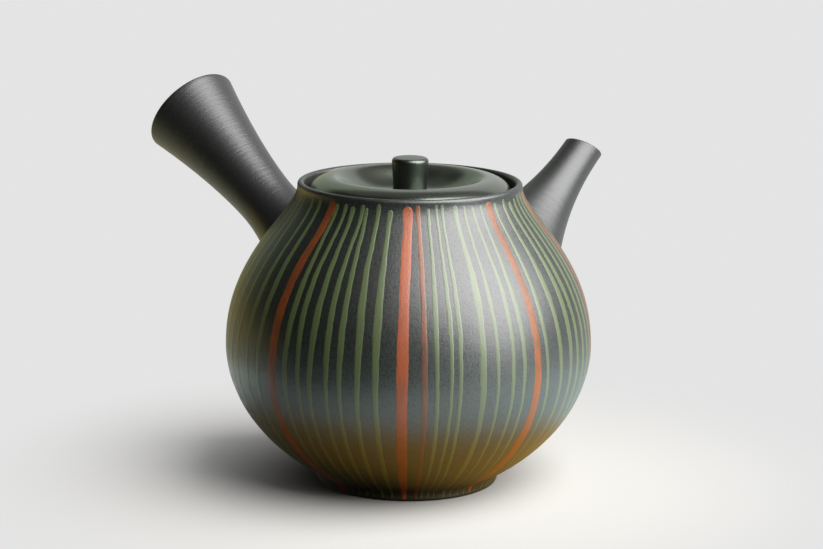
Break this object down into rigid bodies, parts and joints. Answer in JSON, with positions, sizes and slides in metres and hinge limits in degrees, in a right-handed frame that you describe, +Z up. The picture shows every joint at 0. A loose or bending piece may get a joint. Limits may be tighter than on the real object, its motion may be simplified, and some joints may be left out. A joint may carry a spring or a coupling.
{
  "type": "kyusu teapot",
  "caption": "Round side-handled clay teapot with a short tapered spout, a hollow flared handle, a pierced strainer behind the spout and a loose drop-in lid with a button knob.",
  "frame": {"origin": "centre of the foot's flat underside, on the pot's axis", "axes": "+Z up the pot's axis, +X the way the spout points, +Y the way the handle points"},
  "size_m": [0.1257, 0.1435, 0.1021],
  "materials": {
    "pot_clay": "satin black fired clay with green and red slip stripes",
    "limb_clay": "matte black fired clay with fine turning lines",
    "lid_clay": "smooth satin black fired clay",
    "bare_clay": "matte unpolished fired clay"
  },
  "bodies": {
    "pot": {"bowl": "pot_clay", "shoulder": "pot_clay", "spout": "limb_clay", "handle": "limb_clay", "strainer": "bare_clay"},
    "lid": {"lid": "lid_clay", "knob": "lid_clay"}
  },
  "joints": [
    {"name": "lid_lift", "type": "slide", "parent": "pot", "child": "lid", "axis": [0, 0, 1], "range_m": [0, 0.06]}
  ]
}
